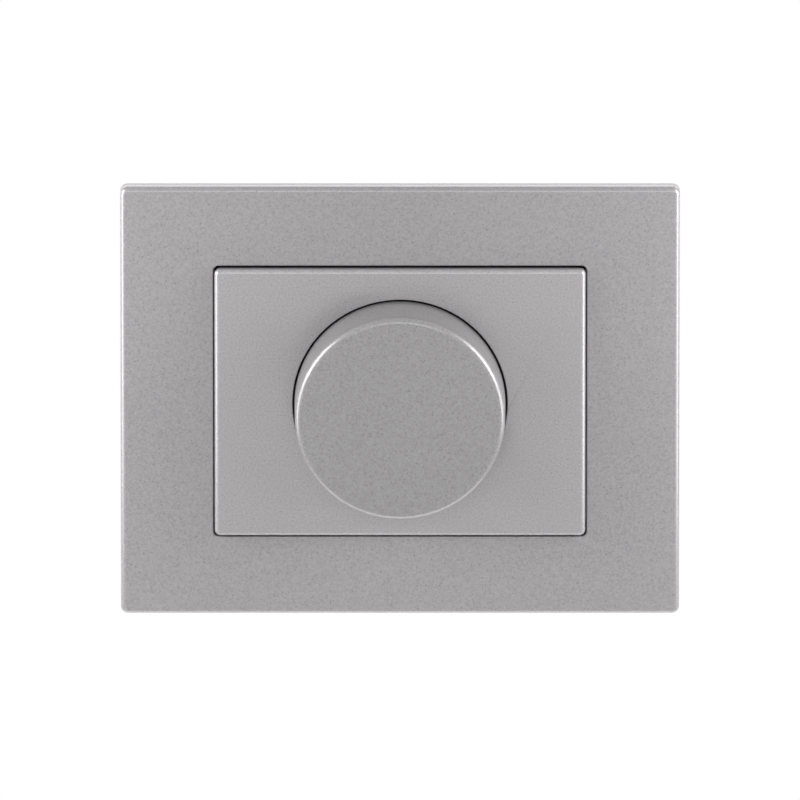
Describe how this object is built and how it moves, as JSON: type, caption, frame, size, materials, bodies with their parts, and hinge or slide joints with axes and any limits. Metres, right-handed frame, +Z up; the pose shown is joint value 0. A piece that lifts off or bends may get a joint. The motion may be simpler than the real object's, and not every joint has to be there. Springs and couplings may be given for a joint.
{
  "type": "rotary dimmer switch",
  "caption": "Flush-mounted rotary dimmer: rectangular cover frame and centre plate with a round push-and-turn knob, on a strap with claws and a boxed insert behind.",
  "frame": {"origin": "on the shaft's axis in the plane of the wall, at the middle of the two box-screw slots", "axes": "+X right, +Z up, -Y out of the wall towards the user, +Y into the wall box"},
  "size_m": [0.106, 0.0501, 0.0842],
  "materials": {
    "silver_paint": "fine metallic paint on moulded plastic",
    "zinc_steel": "zinc plated sheet",
    "spring_steel": "bright spring wire and strip",
    "screw_steel": "zinc plated screws",
    "housing_plastic": "light grey moulded plastic",
    "cover_plastic": "dark grey moulded plastic",
    "brass": "turned brass",
    "shaft_metal": "turned and ground",
    "board": "glass fibre board with solder mask",
    "phenolic": "phenolic sheet",
    "carbon": "carbon film",
    "black_plastic": "black moulded plastic",
    "white_plastic": "white moulded plastic",
    "bronze": "spring bronze",
    "contact_silver": "silvered contact",
    "tinned": "tinned metal",
    "aluminium": "bare extruded aluminium",
    "ferrite": "sintered ferrite",
    "enamelled_copper": "enamelled copper wire",
    "film_box": "yellow moulded box",
    "glass": "clear glass tube",
    "resistor_body": "lacquered body",
    "diac_body": "blue glass bead"
  },
  "bodies": {
    "insert": {"outer_frame": "silver_paint", "centre_plate": "silver_paint", "ring_nut": "brass", "lock_washer": "spring_steel", "threaded_bushing": "brass", "mounting_strap": "zinc_steel", "claw_screws": "screw_steel", "insert_cover": "cover_plastic", "rear_housing": "housing_plastic", "housing_screws": "screw_steel", "circuit_board": "board", "pot_case": "black_plastic", "track_board": "phenolic", "resistive_track": "carbon", "track_tags": "tinned", "switch_case": "black_plastic", "return_spring": "spring_steel", "fixed_contacts": "contact_silver", "triac": "black_plastic", "heat_sink": "aluminium", "triac_screw": "screw_steel", "choke_core": "ferrite", "choke_winding": "enamelled_copper", "film_capacitor": "film_box", "timing_capacitor": "film_box", "diac": "diac_body", "resistors": "resistor_body", "fuse_tube": "glass", "fuse_caps": "tinned", "fuse_clips": "tinned", "terminal_clamps": "brass", "terminal_screws": "screw_steel"},
    "press_carriage": {"switch_plunger": "white_plastic", "contact_bridge": "contact_silver"},
    "knob": {"knob": "silver_paint", "knob_spring_clip": "spring_steel", "control_shaft": "shaft_metal"},
    "wiper": {"wiper_rotor": "white_plastic", "wiper_contact": "bronze"},
    "right_claw": {"right_claw": "zinc_steel"},
    "left_claw": {"left_claw": "zinc_steel"}
  },
  "joints": [
    {"name": "knob_press", "type": "slide", "parent": "insert", "child": "press_carriage", "axis": [0, 1, 0], "range_m": [0, 0.0012], "stiffness_N_per_m": 900, "springref_m": -0.0015, "deforming": ["return_spring"]},
    {"name": "knob_turn", "type": "hinge", "parent": "press_carriage", "child": "knob", "pos_m": [0, -0.01, 0], "axis": [0, 1, 0], "range_deg": [-150, 150]},
    {"name": "wiper_turn", "type": "hinge", "parent": "insert", "child": "wiper", "pos_m": [0, 0.0028, 0], "axis": [0, 1, 0], "range_deg": [-150, 150]},
    {"name": "right_claw_swing", "type": "hinge", "parent": "insert", "child": "right_claw", "pos_m": [0.0215, 0.00075, 0.007], "axis": [0, 0, -1], "range_deg": [0, 12]},
    {"name": "left_claw_swing", "type": "hinge", "parent": "insert", "child": "left_claw", "pos_m": [-0.0215, 0.00075, -0.007], "axis": [0, 0, 1], "range_deg": [0, 12]}
  ],
  "couplings": [
    {"joint": "wiper_turn", "follows": "knob_turn", "ratio": 1}
  ]
}
